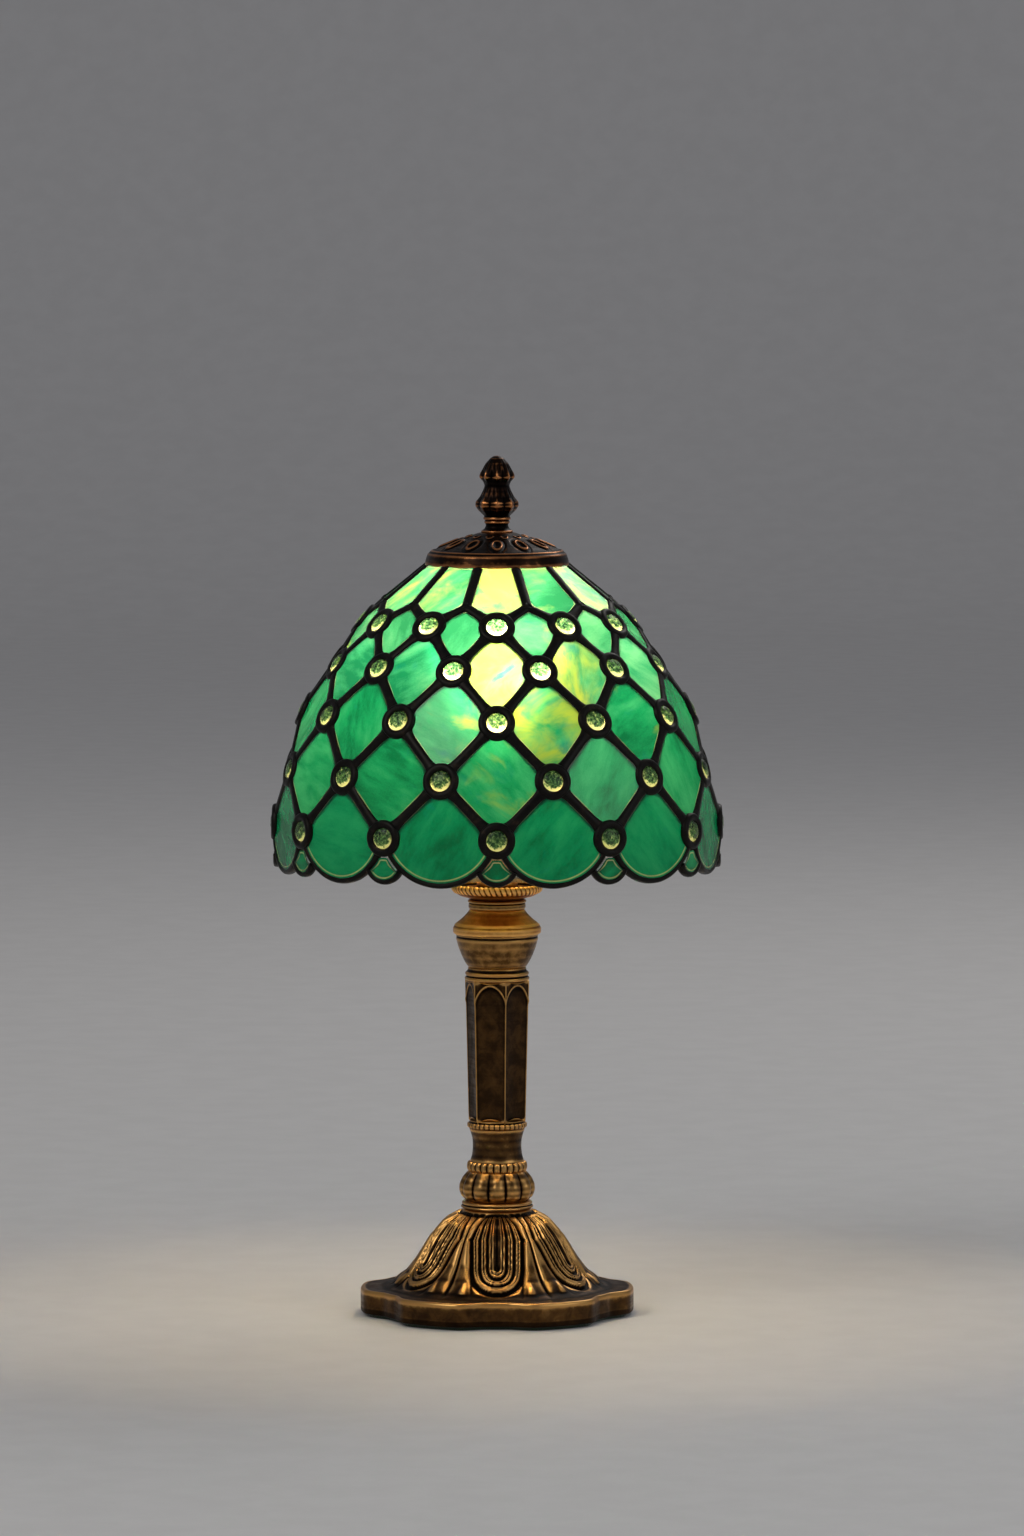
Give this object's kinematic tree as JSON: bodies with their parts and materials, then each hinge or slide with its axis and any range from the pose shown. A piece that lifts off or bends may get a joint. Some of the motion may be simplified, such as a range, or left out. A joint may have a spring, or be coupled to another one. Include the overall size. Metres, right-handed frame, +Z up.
{
  "type": "leaded stained-glass table lamp",
  "caption": "Small table lamp with a domed shade of leaded green opal panes and round glass jewels on a cast bronze stem with a lobed foot.",
  "frame": {"origin": "on the table at the centre of the foot", "axes": "+Z up, the lamp's front faces -Y"},
  "size_m": [0.2032, 0.2032, 0.386],
  "materials": {
    "felt": "soft dark green felt",
    "antique_bronze": "cast metal with an antique bronze patina, worn to gold on its high spots",
    "gilt_bronze": "antique gold bronze, brushed",
    "dark_bronze": "dark brown bronze patina with copper high spots",
    "steel": "zinc plated",
    "brass": "polished brass",
    "black_plastic": "black moulded plastic",
    "fibre_liner": "pressed fibre board",
    "nickel": "nickel plated",
    "bulb_glass": "frosted, glowing warm white",
    "stem_glass": "clear",
    "filament": "glowing",
    "solder": "solder with a near-black brown patina",
    "glass_crown": "opalescent mint green with yellow-green streaks",
    "glass_upper": "opalescent green with paler streaks",
    "glass_middle": "opalescent sea green with darker streaks",
    "glass_skirt": "opalescent emerald green with dark streaks",
    "jewel": "clear yellow-green pressed glass"
  },
  "bodies": {
    "base": {"felt_pad": "felt", "foot_casting": "antique_bronze", "bottom_washer": "steel", "bottom_nut": "steel", "cord_bushing": "black_plastic", "threaded_pipe": "steel", "collar_ring": "antique_bronze", "gadrooned_knop": "antique_bronze", "ornamented_collar": "antique_bronze", "stem_neck": "antique_bronze", "column_lower_ring": "antique_bronze", "hex_column": "antique_bronze", "astragal_ring": "antique_bronze", "urn_bowl": "antique_bronze", "urn_rim_band": "gilt_bronze", "urn_cone": "gilt_bronze", "neck_ring": "antique_bronze", "bobeche": "gilt_bronze", "harp_saddle": "brass", "socket_cap": "brass", "socket_set_screw": "steel", "socket_shell": "brass", "socket_liner": "fibre_liner", "socket_body": "black_plastic", "terminal_screws": "brass", "screw_shell": "nickel", "centre_contact": "brass"},
    "switch_key": {"switch_shaft": "brass", "switch_knob": "black_plastic"},
    "bulb": {"bulb_screw_base": "nickel", "bulb_insulator": "black_plastic", "bulb_contact": "nickel", "bulb_glass": "bulb_glass", "bulb_stem": "stem_glass", "bulb_filament": "filament"},
    "harp": {"harp_bow": "brass"},
    "harp_swivel": {"harp_stud": "brass"},
    "ferrule_left": {"harp_ferrule_left": "brass"},
    "ferrule_right": {"harp_ferrule_right": "brass"},
    "shade": {"crown_ring": "brass", "vase_cap": "dark_bronze", "solder_lattice": "solder", "rim_binding": "solder", "glass_crown": "glass_crown", "glass_shoulder": "glass_crown", "glass_upper": "glass_upper", "glass_middle": "glass_middle", "glass_lower": "glass_middle", "glass_skirt": "glass_skirt", "glass_fans": "glass_skirt", "jewels_row_1": "jewel", "jewels_row_2": "jewel", "jewels_row_3": "jewel", "jewels_row_4": "jewel", "jewels_row_5": "jewel"},
    "finial": {"finial": "dark_bronze"}
  },
  "joints": [
    {"name": "bulb_turn", "type": "hinge", "parent": "base", "child": "bulb", "pos_m": [0, 0, 0.24], "axis": [0, 0, 1], "continuous": true},
    {"name": "switch_turn", "type": "hinge", "parent": "base", "child": "switch_key", "pos_m": [0, -0.02, 0.2165], "axis": [0, -1, 0], "continuous": true},
    {"name": "harp_lift", "type": "slide", "parent": "base", "child": "harp", "axis": [0, 0, 1], "range_m": [0, 0.03]},
    {"name": "ferrule_left_slide", "type": "slide", "parent": "harp", "child": "ferrule_left", "axis": [0, 0, 1], "range_m": [0, 0.012]},
    {"name": "ferrule_right_slide", "type": "slide", "parent": "harp", "child": "ferrule_right", "axis": [0, 0, 1], "range_m": [0, 0.012]},
    {"name": "swivel_turn", "type": "hinge", "parent": "harp", "child": "harp_swivel", "pos_m": [0, 0, 0.3435], "axis": [0, 0, 1], "continuous": true},
    {"name": "shade_lift", "type": "slide", "parent": "harp_swivel", "child": "shade", "axis": [0, 0, 1], "range_m": [0, 0.16]},
    {"name": "finial_turn", "type": "hinge", "parent": "shade", "child": "finial", "pos_m": [0, 0, 0.357], "axis": [0, 0, 1], "continuous": true}
  ]
}
